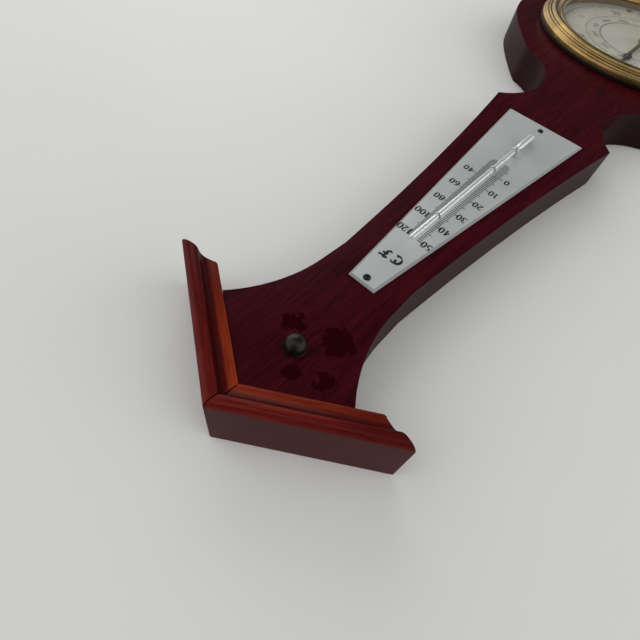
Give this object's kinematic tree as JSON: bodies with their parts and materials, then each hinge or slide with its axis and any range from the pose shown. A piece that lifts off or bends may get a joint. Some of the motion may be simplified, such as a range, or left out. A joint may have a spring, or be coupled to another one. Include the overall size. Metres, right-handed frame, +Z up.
{
  "type": "wall weather station",
  "caption": "Wooden banjo-shaped wall weather station with a gabled top, a long thermometer plate on the neck and a round brass-rimmed aneroid barometer.",
  "frame": {"origin": "the point where the wall hook bears, at the top of the keyhole slot on the back plane", "axes": "+Z up along the case, +X to the viewer's right, +Y out of the back towards the wall; the dial faces -Y"},
  "size_m": [0.1718, 0.031, 0.4798],
  "materials": {
    "lacquered_wood": "dark cherry-red lacquer, glossy",
    "moulding_wood": "cherry-red lacquer, glossy, lighter on the bead",
    "knob_bronze": "near-black bronze, satin",
    "scale_aluminium": "satin silver, printed black scale",
    "black_screws": "black oxide",
    "clear_glass": "clear",
    "thermometer_liquid": "silvery liquid",
    "bright_steel": "bright zinc",
    "polished_brass": "spun and lacquered",
    "movement_brass": "stamped, unpolished",
    "case_metal": "drawn, dull",
    "dial_face": "off-white enamel with printed scale",
    "blued_steel": "blued"
  },
  "bodies": {
    "case": {"aneroid_capsule": "case_metal", "arbor_bridge": "movement_brass", "arbor_cock": "movement_brass", "arbor_post_1": "movement_brass", "arbor_post_2": "movement_brass", "arbor_spacer_1": "movement_brass", "arbor_spacer_2": "movement_brass", "barometer_case": "case_metal", "base_screw_1": "bright_steel", "base_screw_2": "bright_steel", "bezel": "polished_brass", "case_board": "lacquered_wood", "dial_glass": "clear_glass", "dial_pillar_1": "movement_brass", "dial_pillar_2": "movement_brass", "dial_pillar_3": "movement_brass", "dial_plate": "dial_face", "dial_screw_1": "movement_brass", "dial_screw_2": "movement_brass", "dial_screw_3": "movement_brass", "dial_spacer_ring": "movement_brass", "finial_knob": "knob_bronze", "flange_screw_1": "bright_steel", "flange_screw_2": "bright_steel", "flange_screw_3": "bright_steel", "gable_moulding_left": "moulding_wood", "gable_moulding_right": "moulding_wood", "hairspring": "blued_steel", "hanger_plate": "bright_steel", "hanger_screw_bottom": "bright_steel", "hanger_screw_top": "bright_steel", "main_spring": "blued_steel", "movement_base": "movement_brass", "plate_screw_bottom": "black_screws", "plate_screw_top": "black_screws", "rocker_post_1": "movement_brass", "rocker_post_2": "movement_brass", "spring_bridge": "movement_brass", "spring_screw": "bright_steel", "thermometer_fluid": "thermometer_liquid", "thermometer_plate": "scale_aluminium", "thermometer_tube": "clear_glass", "tube_staple_lower": "bright_steel", "tube_staple_middle": "bright_steel", "tube_staple_upper": "bright_steel"},
    "pointer_arbor_body": {"pointer": "blued_steel", "pointer_arbor": "bright_steel"},
    "set_hand_body": {"set_hand": "polished_brass", "set_knob": "polished_brass"},
    "rocker": {"rocker_shaft": "bright_steel"},
    "lever": {"main_lever": "movement_brass", "connecting_link": "bright_steel"},
    "chain": {"pull_chain": "bright_steel"},
    "adjuster": {"adjusting_screw": "bright_steel"}
  },
  "joints": [
    {"name": "pointer_turn", "type": "hinge", "parent": "case", "child": "pointer_arbor_body", "pos_m": [0, -0.0196, -0.314], "axis": [0, 1, 0], "range_deg": [-150, 150]},
    {"name": "chain_pull", "type": "slide", "parent": "case", "child": "chain", "axis": [1, 0, 0], "range_m": [-0.0022, 0.0022]},
    {"name": "rocker_turn", "type": "hinge", "parent": "case", "child": "rocker", "pos_m": [0.029, -0.0064, -0.314], "axis": [0, 0, 1], "range_deg": [-16, 16]},
    {"name": "lever_lift", "type": "hinge", "parent": "case", "child": "lever", "pos_m": [0.00915, -0.0104, -0.314], "axis": [0, 0, 1], "range_deg": [-4.6, 4.6]},
    {"name": "set_hand_turn", "type": "hinge", "parent": "case", "child": "set_hand_body", "pos_m": [0, -0.025, -0.314], "axis": [0, 1, 0], "continuous": true},
    {"name": "adjuster_turn", "type": "hinge", "parent": "case", "child": "adjuster", "pos_m": [-0.031, -0.003, -0.314], "axis": [0, 1, 0], "range_deg": [-180, 180]}
  ],
  "couplings": [
    {"joint": "chain_pull", "follows": "pointer_turn", "m_per_rad": -0.0008},
    {"joint": "rocker_turn", "follows": "pointer_turn", "ratio": -0.1033},
    {"joint": "lever_lift", "follows": "pointer_turn", "ratio": 0.03}
  ]
}
